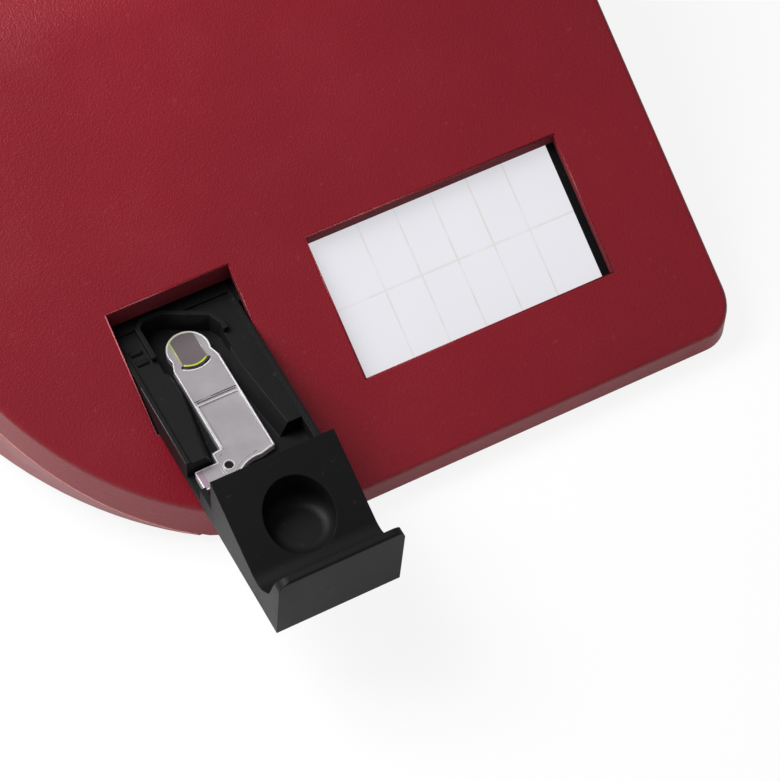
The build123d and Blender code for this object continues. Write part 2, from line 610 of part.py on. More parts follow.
with BuildPart() as drawer_tray:
    box(x0, x1, -98, drawer_rear, drawer_z, wall_top)
    # Sunken shelves inside the thin outer rims, then the pocket with leaning sides
    box(x0 + 1.0, x1 - 1.0, block_rear, -34.2, shelf_z, 40, mode=Mode.SUBTRACT)
    with BuildSketch(Plane.XY.offset(floor_top)):
        with BuildLine():
            Polyline(
                (drawer_x - 7.5, block_rear), (drawer_x - 7.5, shelf_end), (drawer_x - jaw, -51.5),
                (drawer_x - jaw, eye_y - 3), (drawer_x + jaw, eye_y - 3), (drawer_x + jaw, -51.5),
                (drawer_x + 7.5, shelf_end), (drawer_x + 7.5, block_rear), close=True,
            )
        make_face()
    extrude(amount=8, taper=-24, mode=Mode.SUBTRACT)
    # A raised rim stands round the rear of the eye pocket, whose right rear wall is slanted
    with BuildSketch(Plane.XY.offset(floor_top)):
        with BuildLine():
            Polyline(
                (drawer_x - 8.9, eye_y - 1), (drawer_x - 8.9, eye_y + 7.4), (drawer_x - 6.8, eye_y + 9.6),
                (drawer_x - 2.2, eye_y + 9.6), (drawer_x + 7.4, eye_y + 4.4), (drawer_x + 8.9, eye_y + 1.2),
                (drawer_x + 8.9, eye_y - 1), close=True,
            )
        make_face()
    extrude(amount=29.6 - floor_top)
    with BuildSketch(Plane.XY.offset(floor_top)):
        with BuildLine():
            Polyline(
                (drawer_x - jaw, eye_y - 6.4), (drawer_x - pocket_w / 2, eye_y - 4.6),
                (drawer_x - pocket_w / 2, eye_y + 7.2), (drawer_x - 6.4, eye_y + 8.5),
                (drawer_x - 2.5, eye_y + 8.5), (drawer_x + 6.6, eye_y + 3.5),
                (drawer_x + pocket_w / 2, eye_y + 0.8), (drawer_x + pocket_w / 2, eye_y - 4.6),
                (drawer_x + jaw, eye_y - 6.4), close=True,
            )
        make_face()
    extrude(amount=8, mode=Mode.SUBTRACT)
    box(x0 + drawer_wall, x1 - drawer_wall, block_rear, shelf_end, floor_top, 40, mode=Mode.SUBTRACT)
    box(x0 - 1, x0 + 3, *wing_y, floor_top, 40, mode=Mode.SUBTRACT)
    box(x0 - 1, x0 + 3, block_rear, wing_y[0], 27.6, 40, mode=Mode.SUBTRACT)
    # The hollow tail stays in the guide
    box(x0 + 3, x1 - 3, -29, -12, floor_top + 0.6, 40, mode=Mode.SUBTRACT)
    # Front block: a ramp down to a round trough and a raised pull lip
    with BuildSketch(Plane.YZ.offset(x0)) as side:
        with BuildLine():
            Polyline(
                (block_rear, drawer_z), (block_rear, block_top), (drawer_front + 8, trough_z),
                (drawer_front + 3.4, 33.0), (drawer_front + 0.6, lip_top), (drawer_front - 1.13, lip_top),
                (drawer_front + 0.3, drawer_z), close=True,
            )
        make_face()
        fillet(side.vertices().sort_by(Axis.X)[4], 4.4)
        fillet(side.vertices().sort_by(Axis.X)[3], 5.0)
        fillet(side.vertices().sort_by(Axis.X)[0], 0.5)
    extrude(amount=drawer_w)
    add(finger_bowl.part, mode=Mode.SUBTRACT)
    with BuildSketch(Plane.XZ.offset(-drawer_front - 6)):
        with Locations(*lip_corners):
            Rectangle(lip_r + 0.2, lip_r + 0.2)
        with Locations(*[(drawer_x + s * (half_w - lip_r), lip_top - lip_r) for s in (-1, 1)]):
            Circle(lip_r, mode=Mode.SUBTRACT)
    extrude(amount=10, mode=Mode.SUBTRACT)
    # Light eye, cuvette pin, two catches, end stop peg and spring groove
    rods([(drawer_x, eye_y)], eye_d / 2, 20, 26, mode=Mode.SUBTRACT)
    rods([pin_spot], 0.9, floor_top - 0.5, floor_top + 1.2)
    with Locations((x0 + 2.9, -39.4, shelf_z), (x0 + 3.1, -42.2, shelf_z - 0.1)):
        Cylinder(0.75, 2.6, rotation=(0, 90, 0))
    rods([(stop_x, stop_y)], 2.5, 19.4, drawer_z + 0.4)
    box(spring_x - 1.8, spring_x + 1.8, -69, -14.6, drawer_z - 1, drawer_z + 0.75, mode=Mode.SUBTRACT)
drawer_tray.part.label = "drawer_tray"
export_step(drawer_tray.part.moved(on_desk), "parts/drawer_tray.step")

# Clear cuvette lying in the pocket with its chamber over the eye
cuvette_low = floor_top + 0.05


def on_cuvette(side, along):
    return (drawer_x + side, tip_y - along)


with BuildPart() as cuvette:
    with BuildSketch(Plane.XY.offset(cuvette_low)) as plan:
        with Locations(on_cuvette(0, 4.8)):
            Circle(4.8)
        with BuildLine():
            Polyline(
                on_cuvette(-4.5, 6.4), on_cuvette(-5.3, 8.6), on_cuvette(-5.3, 30.2),
                on_cuvette(-7.3, 30.5), on_cuvette(-7.4, 32.9), on_cuvette(-12.6, 32.9),
                on_cuvette(-12.6, 38.0), on_cuvette(-4.7, 38.0),
            )
            ThreePointArc(on_cuvette(-4.7, 38.0), on_cuvette(-2.2, 35.9), on_cuvette(1.8, 35.2))
            Polyline(
                on_cuvette(1.8, 35.2), on_cuvette(5.3, 34.4), on_cuvette(5.3, 8.6), on_cuvette(4.5, 6.4),
                on_cuvette(-4.5, 6.4),
            )
        make_face()
    extrude(amount=cuvette_t)
    fillet(cuvette.edges().filter_by(Axis.Z).filter_by_position(Axis.X, -46, -44.9), 0.8)
    top_z = cuvette_low + cuvette_t
    # Grip panel sunk behind a raised border, chamber and its curved filling slot
    box(drawer_x - 4.5, drawer_x + 4.5, tip_y - 29.5, tip_y - 17.8, top_z - 0.35, 60, mode=Mode.SUBTRACT)
    with BuildSketch(Plane.XY.offset(top_z - 0.4)):
        with Locations(on_cuvette(0, 4.8)):
            Circle(4.0)
            Rectangle(5.8, 9, mode=Mode.INTERSECT)
    extrude(amount=3, mode=Mode.SUBTRACT)
    with BuildSketch(Plane.XY.offset(cuvette_low - 1)):
        with BuildLine() as mouth:
            ThreePointArc(on_cuvette(-3.0, 8.5), on_cuvette(0, 9.5), on_cuvette(3.0, 8.5))
        SlotArc(mouth.edges()[0], 0.9)
    extrude(amount=10, mode=Mode.SUBTRACT)
    rods([pin_spot], 0.9 + seat_fit, 20, 40, mode=Mode.SUBTRACT)
    box(x0 + 2.0, x0 + 2.9, tip_y - 37.0, tip_y - 33.8, top_z - 0.25, 60, mode=Mode.SUBTRACT)
cuvette.part.label = "cuvette"
export_step(cuvette.part.moved(on_desk), "parts/cuvette.step")

# Battery bay behind the rear wall
cell_z = (bay_z[0] + bay_z[1]) / 2
mid_x = (door_x[0] + door_x[1]) / 2
bay_in = bay_front + 1.6
cell_xs = [mid_x + (n - 1.5) * cell_pitch for n in range(4)]
with BuildPart() as battery_box:
    box(door_x[0] - 1.6, door_x[1] + 1.6, bay_front, rear_in - 0.1, *bay_z)
    box(*door_x, bay_in, rear_in + 10, bay_z[0] + 1.2, bay_z[1] - 1.2, mode=Mode.SUBTRACT)
    with Locations(*[(x, cell_mid - 3.2, bay_z[1]) for x in cell_xs]):
        Box(8, cell_l - 16, 6, mode=Mode.SUBTRACT)
battery_box.part.label = "battery_box"
export_step(battery_box.part.moved(on_desk), "parts/battery_box.step")

with BuildPart() as battery_cells:
    with Locations(*[(x, cell_mid, cell_z) for x in cell_xs]):
        Cylinder(cell_d / 2, cell_l - 1.5, rotation=(90, 0, 0))
    for n, x in enumerate(cell_xs):
        with Locations((x, cell_mid + (1 if n % 2 else -1) * (cell_l / 2 - 0.4), cell_z)):
            Cylinder(2.6, 1.2, rotation=(90, 0, 0))
battery_cells.part.label = "battery_cells"
export_step(battery_cells.part.moved(on_desk), "parts/battery_cells.step")

with BuildPart() as contact_plates:
    for n, x in enumerate(cell_xs):
        box(x - 4.5, x + 4.5, bay_in + 0.02, bay_in + 0.5, cell_z - 5, cell_z + 5)
        with Locations((x, bay_in + 1.15, cell_z)):
            Cone(3.4, 2.0, 1.4, rotation=(-90, 0, 0))
contact_plates.part.label = "contact_plates"
export_step(contact_plates.part.moved(on_desk), "parts/contact_plates.step")

with BuildPart() as battery_door:
    box(*door_x, rear_in + 0.1, half_y - 0.05, *door_z)
    fillet(battery_door.edges().filter_by(Axis.Y), 1.0)
    chamfer(battery_door.faces().sort_by(Axis.Y)[-1].edges(), 0.3)
    with Locations((mid_x, half_y, door_z[1] - 4)):
        Cylinder(7, 2.4, mode=Mode.SUBTRACT)
    with Locations(*[(mid_x + s * 22, rear_in - 0.4, door_z[0] + 1.5) for s in (-1, 1)]):
        Box(6, 1.2, 1.4)
battery_door.part.label = "battery_door"
export_step(battery_door.part.moved(on_desk), "parts/battery_door.step")

with BuildPart() as door_contacts:
    for pair in (0, 2):
        left, right = cell_xs[pair], cell_xs[pair + 1]
        box(left - 3.5, right + 3.5, rear_in - 0.7, rear_in + 0.08, cell_z - 4, cell_z + 4)
        with Locations((left, rear_in - 1.1, cell_z)):
            Cone(3.2, 2.0, 0.9, rotation=(90, 0, 0))
door_contacts.part.label = "door_contacts"
export_step(door_contacts.part.moved(on_desk), "parts/door_contacts.step")

# Rear board with the power inlet and the data socket
with BuildPart() as io_board:
    box(-66, -5, rear_in - 24.4, rear_in - 3.4, board_z, top_of_board)
    fillet(io_board.edges().filter_by(Axis.Z), 1.5)
    rods(io_holes, 1.4, 5, 20, mode=Mode.SUBTRACT)
io_board.part.label = "io_board"
export_step(io_board.part.moved(on_desk), "parts/io_board.step")

with BuildPart() as power_inlet:
    box(jack_x - 4.6, jack_x + 4.6, rear_in - 13.4, rear_in - 0.1, top_of_board, top_of_board + 10.8)
    with Locations((jack_x, rear_in + 0.6, jack_z)):
        Cylinder(4.3, 1.6, rotation=(90, 0, 0))
    with Locations((jack_x, half_y - 5, jack_z)):
        Cylinder(2.8, 11, rotation=(90, 0, 0), mode=Mode.SUBTRACT)
    with Locations((jack_x, half_y - 7, jack_z)):
        Cylinder(1.0, 8, rotation=(90, 0, 0))
power_inlet.part.label = "power_inlet"
export_step(power_inlet.part.moved(on_desk), "parts/power_inlet.step")

with BuildPart() as data_socket:
    box(usb_x - 6, usb_x + 6, rear_in - 14.4, half_y - 0.4, usb_z - 5.4, usb_z + 5.4)
    box(usb_x - 4.3, usb_x + 4.3, rear_in - 7.4, half_y + 10, usb_z - 4.0, usb_z + 4.0, mode=Mode.SUBTRACT)
    box(usb_x - 2.8, usb_x + 2.8, rear_in - 8.4, half_y - 1.6, usb_z - 1.5, usb_z + 1.5)
data_socket.part.label = "data_socket"
export_step(data_socket.part.moved(on_desk), "parts/data_socket.step")

# Rocker switch in the rear wall
pivot = (switch_x, half_y - 0.6, switch_z)
well_x = (switch_x - 8.6, switch_x + 8.6)
with BuildPart() as switch_frame:
    box(switch_x - 10.6, switch_x + 10.6, half_y + 0.02, half_y + 1.4, switch_z - 7.5, switch_z + 7.5)
    fillet(switch_frame.edges().filter_by(Axis.Y), 1.2)
    chamfer(switch_frame.faces().sort_by(Axis.Y)[-1].edges(), 0.4)
    box(switch_x - 9.4, switch_x + 9.4, half_y - 13, half_y + 0.1, switch_z - 6.3, switch_z + 6.3)
    box(*well_x, half_y - 7, half_y + 9, switch_z - 5.2, switch_z + 5.2, mode=Mode.SUBTRACT)
    with Locations((pivot[0], pivot[1], switch_z)):
        Cylinder(0.9, 12.2)
    with Locations(*[(switch_x + s * 5, half_y - 14.5, switch_z) for s in (-1, 1)]):
        Box(0.8, 4, 4.8)
switch_frame.part.label = "switch_frame"
export_step(switch_frame.part.moved(on_desk), "parts/switch_frame.step")

tilt = math.radians(8)
rocker_plane = Plane((switch_x, pivot[1], switch_z - 4.9), x_dir=(math.cos(tilt), math.sin(tilt), 0))
with BuildPart() as rocker:
    with BuildSketch(rocker_plane):
        with BuildLine():
            Polyline(
                (0, 1.5), (8.0, 2.6), (8.0, -0.5), (3, -4.5),
                (-3, -4.5), (-8.0, -0.5), (-8.0, 2.6), close=True,
            )
        make_face()
    extrude(amount=9.8)
    with Locations(pivot):
        Cylinder(1.0, 14, mode=Mode.SUBTRACT)
rocker.part.label = "rocker"
export_step(rocker.part.moved(on_desk), "parts/rocker.step")
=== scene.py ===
import math

import bmesh
import bpy
from mathutils import Euler, Matrix, Vector


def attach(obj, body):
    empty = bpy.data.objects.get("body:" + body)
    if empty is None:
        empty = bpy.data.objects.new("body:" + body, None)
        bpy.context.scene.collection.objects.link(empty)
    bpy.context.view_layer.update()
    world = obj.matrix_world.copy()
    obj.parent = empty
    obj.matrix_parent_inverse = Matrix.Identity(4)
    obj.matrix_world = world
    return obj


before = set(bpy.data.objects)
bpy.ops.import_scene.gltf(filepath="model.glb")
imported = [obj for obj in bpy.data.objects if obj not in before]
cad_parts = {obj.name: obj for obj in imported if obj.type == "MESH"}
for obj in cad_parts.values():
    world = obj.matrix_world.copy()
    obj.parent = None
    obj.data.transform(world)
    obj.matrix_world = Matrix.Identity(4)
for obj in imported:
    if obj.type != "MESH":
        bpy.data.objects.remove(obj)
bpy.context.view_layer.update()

mm = 0.001
white = (1, 1, 1, 1)
black = (0, 0, 0, 1)


# A socket that can be written as sums; numbers alone never become nodes
class Wire:
    def __init__(self, tree, socket=None):
        self.tree = tree
        self.socket = socket

    def node(self, kind, settings=None, sockets=None, out=0):
        made = self.tree.nodes.new("ShaderNode" + kind)
        for key, value in (settings or {}).items():
            setattr(made, key, value)
        for key, value in (sockets or {}).items():
            if isinstance(value, Wire):
                self.tree.links.new(value.socket, made.inputs[key])
            else:
                made.inputs[key].default_value = value
        return Wire(self.tree, made.outputs[out] if made.outputs else None)

    def math(self, operation, first, second=0.0):
        return self.node("Math", {"operation": operation}, {0: first, 1: second})

    def __add__(self, other):
        return self.math("ADD", self, other)

    def __radd__(self, other):
        return self.math("ADD", other, self)

    def __sub__(self, other):
        return self.math("SUBTRACT", self, other)

    def __rsub__(self, other):
        return self.math("SUBTRACT", other, self)

    def __mul__(self, other):
        return self.math("MULTIPLY", self, other)

    def __rmul__(self, other):
        return self.math("MULTIPLY", other, self)

    def __abs__(self):
        return self.math("ABSOLUTE", self)

    def __gt__(self, other):
        return self.math("GREATER_THAN", self, other)

    def __lt__(self, other):
        return self.math("LESS_THAN", self, other)

    def between(self, low, high):          # 0 at low, 1 at high, eased at both ends
        settings = {"interpolation_type": "SMOOTHSTEP", "clamp": True}
        return self.node("MapRange", settings, {"Value": self, "From Min": low, "From Max": high})

    def mixed(self, first, second):        # this wire is the mask between two colours
        return self.node("Mix", {"data_type": "RGBA"}, {0: self, 6: first, 7: second}, out=2)

    def split(self):
        parts = self.node("SeparateXYZ", {}, {0: self})
        return [Wire(self.tree, output) for output in parts.socket.node.outputs]


def linear(red, green, blue):              # picture values 0 to 255 as a linear colour
    def one(value):
        share = value / 255
        return share / 12.92 if share <= 0.04045 else ((share + 0.055) / 1.055) ** 2.4
    return (one(red), one(green), one(blue), 1.0)


def shaded(colour, factor):
    return tuple(min(1.0, channel * factor) for channel in colour[:3]) + (1.0,)


# A new material, with its surface node and a wire to start from
def newMaterial(name):
    material = bpy.data.materials.new(name)
    material.use_nodes = True
    surface = material.node_tree.nodes["Principled BSDF"]
    return material, surface, Wire(material.node_tree)


def join(wire, surface, socket):
    wire.tree.links.new(wire.socket, surface.inputs[socket])


def place(start):                          # the point on the piece, in metres
    return start.node("TexCoord", out=3)


def speckle(start, point, scale, detail=2.0, roughness=0.5):
    sockets = {"Vector": point, "Scale": scale, "Detail": detail, "Roughness": roughness}
    return start.node("TexNoise", {}, sockets)


def cells(start, point, scale):
    return start.node("TexVoronoi", {}, {"Vector": point, "Scale": scale})


def raised(start, height, distance, strength, normal=None):
    sockets = {"Height": height, "Distance": distance, "Strength": strength}
    if normal:
        sockets["Normal"] = normal
    return start.node("Bump", {}, sockets)


# 1 within any of the level boxes, each given by its left, right, front and rear in metres
def inBoxes(start, point, boxes):
    across, back = point.split()[:2]
    inside = 0.0
    for left, right, front, rear in boxes:
        here = (across > left) * (across < right) * (back > front) * (back < rear)
        inside = start.math("MAXIMUM", inside, here)
    return inside


# In every look a noise is its scale, detail and roughness, and a span is where its mask runs
# from 0 to 1. Moulded plastic has pebble grain, a slow drift of shade, dust and rubbed spots
plasticLook = {
    "driftNoise": (14, 3.0),
    "driftSpan": (0.3, 0.7),
    "driftShades": (0.92, 1.08),
    "fineScale": 1.7,                      # times the grain's scale
    "fineRough": 0.06,
    "fineHeight": 0.7,
    "grainHeight": 0.6,
    "grainStrength": 0.5,
    "dustNoise": (700, 1.0),
    "dustSpan": (0.68, 0.84),
    "dustColour": linear(190, 170, 168),
    "rubbedNoise": (55, 4.0, 0.6),
    "rubbedSpan": (0.45, 0.75),
    "rubbedRough": 0.08,
    # painted shade: how dark the roof's cut walls are painted
    "paintedCutShade": 0.6,
    "mattRough": 0.4,
    "edge": 0.3 * mm,
    "edgeSamples": 4,
}


def mouldedPlastic(name, look):
    material, surface, start = newMaterial(name)
    point = place(start)
    drift = speckle(start, point, *look["driftNoise"]).between(*look["driftSpan"])
    grain = cells(start, point, look["grainScale"])
    fine = speckle(start, point, look["grainScale"] * look["fineScale"])
    dust = speckle(start, point, *look["dustNoise"]).between(*look["dustSpan"]) * look["dust"]
    rubbed = speckle(start, point, *look["rubbedNoise"]).between(*look["rubbedSpan"])
    tone = drift.mixed(*[shaded(look["colour"], shade) for shade in look["driftShades"]])
    rough = look["roughness"] + (rubbed - 0.5) * look["rubbedRough"]
    rough = rough + (fine - 0.5) * look["fineRough"]
    if "shadeAndMattBoxes" in look:                # cut walls get painted shade, darker than the skin, and are rougher
        cutShadeAndMatt = inBoxes(start, point, look["shadeAndMattBoxes"])
        tone = cutShadeAndMatt.mixed(tone, shaded(look["colour"], look["paintedCutShade"]))
        rough = rough + cutShadeAndMatt * look["mattRough"]
    join(dust.mixed(tone, look["dustColour"]), surface, "Base Color")
    join(rough, surface, "Roughness")
    height = grain * look["grainHeight"] + fine * look["fineHeight"]
    soft = start.node("Bevel", {"samples": look["edgeSamples"]}, {"Radius": look["edge"]})
    grained = raised(start, height, look["grainDepth"], look["grainStrength"], soft)
    join(grained, surface, "Normal")
    surface.inputs["Specular IOR Level"].default_value = look["specular"]
    return material


caseLook = dict(
    plasticLook,
    colour=linear(130, 20, 34),
    roughness=0.4,
    specular=0.4,
    grainScale=2100,
    grainDepth=0.1 * mm,
    grainStrength=0.8,
    dust=0.03,
    edge=0.5 * mm,
)
lowerLook = dict(caseLook, colour=linear(134, 26, 37), roughness=0.44, specular=0.5)

# The roof's two cut-outs in mm: left, right, front and rear
slotHole = (-47.0, -18.0, -41.9, -18.1)
windowHole = (-0.5, 61.0, -47.6, -19.0)
cutMargin = 0.1


def widened(hole):
    left, right, front, rear = hole
    sides = (left - cutMargin, right + cutMargin, front - cutMargin, rear + cutMargin)
    return [side * mm for side in sides]


# the roof's cut walls get painted shade inside these boxes, and are rougher there
roofLook = dict(caseLook, shadeAndMattBoxes=[widened(slotHole), widened(windowHole)])
drawerLook = dict(
    plasticLook,
    colour=linear(22, 22, 23),
    roughness=0.48,
    specular=0.12,
    grainScale=1900,
    grainDepth=0.04 * mm,
    dust=0.12,
    dustColour=linear(96, 94, 92),
)
insideLook = dict(drawerLook, colour=linear(11, 11, 12), roughness=0.6)
bezelLook = dict(insideLook, colour=linear(16, 16, 17))
opticsLook = dict(drawerLook, colour=linear(14, 14, 14), roughness=0.8, dust=0.1)
switchLook = dict(drawerLook, colour=linear(20, 20, 21), roughness=0.22, grainDepth=0.01 * mm)
nylonLook = dict(drawerLook, colour=linear(214, 208, 192), roughness=0.5, dust=0.15)
chipLook = dict(drawerLook, colour=linear(30, 30, 31), roughness=0.7, grainScale=2600, dust=0.2)
frameLook = dict(drawerLook, colour=linear(40, 41, 43), roughness=0.4)
foamLook = dict(drawerLook, colour=linear(32, 31, 31), roughness=0.9)
foamLook.update(grainScale=1400, grainDepth=0.2 * mm)

# Battery cells: a plain plastic sleeve that leaves the steel bare at both ends
sleeveLook = {
    "sleeve": linear(64, 70, 82),
    "steel": linear(206, 206, 204),
    "middle": 65.2 * mm,                   # of the cells' length, back on the desk
    "bareFrom": 23.4 * mm,
    "bareEdge": 0.1 * mm,
    "scuffNoise": (420, 4.0, 0.7),
    "scuffSpan": (0.5, 0.8),
    "sleeveShade": 1.4,
    "steelShade": 0.7,
    "metal": 0.9,
    "roughness": 0.28,
    "scuffRough": 0.15,
    "rippleNoise": (1200, 2.0),
    "rippleDepth": 0.01 * mm,
    "rippleStrength": 0.4,
}


def cellSleeve(name, look):
    material, surface, start = newMaterial(name)
    point = place(start)
    back = point.split()[1]
    bareTo = look["bareFrom"] + look["bareEdge"]
    bare = abs(back - look["middle"]).between(look["bareFrom"], bareTo)
    scuff = speckle(start, point, *look["scuffNoise"]).between(*look["scuffSpan"])
    sleeve = scuff.mixed(look["sleeve"], shaded(look["sleeve"], look["sleeveShade"]))
    steel = scuff.mixed(look["steel"], shaded(look["steel"], look["steelShade"]))
    ripple = speckle(start, point, *look["rippleNoise"])
    join(bare.mixed(sleeve, steel), surface, "Base Color")
    join(bare * look["metal"], surface, "Metallic")
    join(look["roughness"] + scuff * look["scuffRough"], surface, "Roughness")
    join(raised(start, ripple, look["rippleDepth"], look["rippleStrength"]), surface, "Normal")
    return material


# The display face: a white screen under clear film, with faint soft field lines; its glow is
# painted light that keeps the shade from the window's walls faint
displayLook = {
    "face": linear(208, 208, 213),
    "line": linear(198, 194, 190),
    # painted glow: the screen gives off light though it is no lamp
    "glow": 0.95,
    "dimmed": 0.66,                        # how far the surface under the glow goes to black
    "firstColumn": 12.4 * mm,
    "columnPitch": 8.95 * mm,
    "columnsFrom": 8 * mm,
    "columnsTo": 53 * mm,
    "row": -32.2 * mm,
    "rowShare": 0.75,
    "lineWidth": 0.36 * mm,
    "wornNoise": (190, 2.0),
    "wornSpan": (0.35, 0.65),
    "wornLeast": 0.35,
    "cloudNoise": (26, 2.0),
    "cloudSpan": (0.2, 0.8),
    "cloudShades": (0.98, 1.02),
    "smearNoise": (40, 5.0, 0.65),
    "smearSpan": (0.4, 0.8),
    "smearRough": 0.12,
    "roughness": 0.3,
    "rippleNoise": (700, 2.0),
    "rippleDepth": 0.004 * mm,
    "rippleStrength": 0.3,
    "specular": 0.3,
}


def displayFace(name, look):
    material, surface, start = newMaterial(name)
    point = place(start)
    across, back = point.split()[:2]
    column = start.math("PINGPONG", across - look["firstColumn"], look["columnPitch"])
    column = start.math("MINIMUM", column, look["columnPitch"] - column)
    upright = 1 - column.between(0, look["lineWidth"])
    upright = upright * (across > look["columnsFrom"]) * (across < look["columnsTo"])
    level = 1 - abs(back - look["row"]).between(0, look["lineWidth"])
    worn = speckle(start, point, *look["wornNoise"]).between(*look["wornSpan"])
    worn = look["wornLeast"] + worn * (1 - look["wornLeast"])
    lines = start.math("MAXIMUM", upright, level * look["rowShare"]) * worn
    cloud = speckle(start, point, *look["cloudNoise"]).between(*look["cloudSpan"])
    pale = cloud.mixed(*[shaded(look["face"], shade) for shade in look["cloudShades"]])
    tone = lines.mixed(pale, look["line"])
    dim = start.node("Mix", {"data_type": "RGBA"}, {0: look["dimmed"], 6: tone, 7: black}, out=2)
    smear = speckle(start, point, *look["smearNoise"]).between(*look["smearSpan"])
    ripple = speckle(start, point, *look["rippleNoise"])
    join(dim, surface, "Base Color")
    # painted glow: the face's own colour is given off as light, evening out its shade
    join(tone, surface, "Emission Color")
    join(look["roughness"] + smear * look["smearRough"], surface, "Roughness")
    join(raised(start, ripple, look["rippleDepth"], look["rippleStrength"]), surface, "Normal")
    surface.inputs["Emission Strength"].default_value = look["glow"]
    surface.inputs["Specular IOR Level"].default_value = look["specular"]
    return material


# Clear moulded plastic with flow marks, faint scratches and a tint in its thickness
clearLook = {
    "flowNoise": (160, 3.0),
    "flowSpan": (0.3, 0.7),
    "flowShade": 0.9,
    "flowAlpha": 0.12,
    "flowDepth": 0.06 * mm,
    "flowStrength": 0.35,
    "scratchNoise": (1900, 4.0, 0.8),
    "scratchSpan": (0.55, 0.75),
    "scratchRough": 0.12,
    "bending": 1.5,
    "coat": 0.6,
    "coatRoughness": 0.06,
}


def clearPlastic(name, look):
    material, surface, start = newMaterial(name)
    point = place(start)
    flow = speckle(start, point, *look["flowNoise"])
    scratches = speckle(start, point, *look["scratchNoise"]).between(*look["scratchSpan"])
    streaked = shaded(look["colour"], look["flowShade"])
    join(flow.between(*look["flowSpan"]).mixed(streaked, look["colour"]), surface, "Base Color")
    join(look["roughness"] + scratches * look["scratchRough"], surface, "Roughness")
    join(look["alpha"] + (flow - 0.5) * look["flowAlpha"], surface, "Alpha")
    join(raised(start, flow, look["flowDepth"], look["flowStrength"]), surface, "Normal")
    surface.inputs["IOR"].default_value = look["bending"]
    surface.inputs["Coat Weight"].default_value = look["coat"]
    surface.inputs["Coat Roughness"].default_value = look["coatRoughness"]
    return material


cuvetteLook = dict(clearLook, colour=linear(176, 171, 174), alpha=0.7, roughness=0.3)
lensLook = dict(clearLook, colour=linear(214, 224, 226), alpha=0.35, roughness=0.05)
ledLook = dict(clearLook, colour=linear(226, 230, 214), alpha=0.6, roughness=0.1)

# Worked metal: brush lines or a plain satin, tarnish in its hollows
metalLook = {
    "lineNoise": (900, 3.0, 0.7),
    "lineSpan": (0.3, 0.7),
    "lineShade": 0.86,
    "lineRough": 0.14,
    "lineDepth": 0.02 * mm,
    "lineStrength": 0.4,
    "stainNoise": (120, 4.0, 0.6),
    "stainSpan": (0.45, 0.75),
    "stainShade": 0.55,
    "stainShare": 0.5,
    "stainRough": 0.12,
}


def workedMetal(name, look):
    material, surface, start = newMaterial(name)
    point = place(start)
    stretched = start.node("Mapping", {}, {"Vector": point, "Scale": look["stretch"]})
    lines = speckle(start, stretched, *look["lineNoise"])
    stain = speckle(start, point, *look["stainNoise"]).between(*look["stainSpan"])
    brushed = shaded(look["colour"], look["lineShade"])
    tone = lines.between(*look["lineSpan"]).mixed(brushed, look["colour"])
    stained = shaded(look["colour"], look["stainShade"])
    rough = look["roughness"] + lines * look["lineRough"] + stain * look["stainRough"]
    join((stain * look["stainShare"]).mixed(tone, stained), surface, "Base Color")
    join(rough, surface, "Roughness")
    join(raised(start, lines, look["lineDepth"], look["lineStrength"]), surface, "Normal")
    surface.inputs["Metallic"].default_value = 1.0
    return material


# Stretch below 1 draws the brush lines out along that axis
screwLook = dict(metalLook, colour=linear(196, 197, 200), roughness=0.24, stretch=(1, 1, 1))
springLook = dict(metalLook, colour=linear(206, 202, 194), roughness=0.2, stretch=(0.1, 1, 1))
canLook = dict(metalLook, colour=linear(208, 209, 211), roughness=0.26, stretch=(1, 1, 0.1))
socketLook = dict(metalLook, colour=linear(200, 200, 198), roughness=0.22, stretch=(1, 0.1, 1))

# Solder mask over copper tracks, with pads scattered over it
boardLook = {
    "mask": linear(20, 84, 52),
    "track": linear(30, 112, 70),
    "pad": linear(214, 190, 120),
    "laneNoise": (45, 0.0),
    "laneSway": 4 * mm,
    "lanePitch": 0.9 * mm,
    "trackEdge": (0.18 * mm, 0.26 * mm),
    "regionNoise": (60, 0.0),
    "regionFrom": 0.5,
    "padScale": 330,
    "padEdge": (0.16, 0.2),
    "padShare": 0.9,
    "padRough": 0.12,
    "padHeight": 0.5,
    "weaveNoise": (1600, 1.0),
    "weaveRough": 0.1,
    "weaveHeight": 0.2,
    "roughness": 0.38,
    "depth": 0.03 * mm,
    "strength": 0.6,
}


def circuitBoard(name, look):
    material, surface, start = newMaterial(name)
    point = place(start)
    across = point.split()[0]
    sway = speckle(start, point, *look["laneNoise"]) * look["laneSway"]
    lanes = start.math("PINGPONG", across + sway, look["lanePitch"])
    region = speckle(start, point, *look["regionNoise"]) > look["regionFrom"]
    tracks = (1 - lanes.between(*look["trackEdge"])) * region
    pads = 1 - cells(start, point, look["padScale"]).between(*look["padEdge"])
    weave = speckle(start, point, *look["weaveNoise"])
    green = tracks.mixed(look["mask"], look["track"])
    rough = look["roughness"] + weave * look["weaveRough"] - pads * look["padRough"]
    height = tracks + pads * look["padHeight"] + weave * look["weaveHeight"]
    join((pads * look["padShare"]).mixed(green, look["pad"]), surface, "Base Color")
    join(rough, surface, "Roughness")
    join(pads, surface, "Metallic")
    join(raised(start, height, look["depth"], look["strength"]), surface, "Normal")
    return material


# Flat cable: pale film with bright conductors along it
cableLook = {
    "film": linear(214, 212, 200),
    "metal": linear(190, 178, 150),
    "pitch": 1 * mm,
    "wireEdge": (0.12 * mm, 0.2 * mm),
    "wireShare": 0.7,
    "wireDepth": 0.03 * mm,
    "wireStrength": 0.5,
    "filmNoise": (300, 2.0),
    "filmSpan": (0.3, 0.7),
    "filmShade": 0.94,
    "filmRough": 0.1,
    "roughness": 0.3,
}


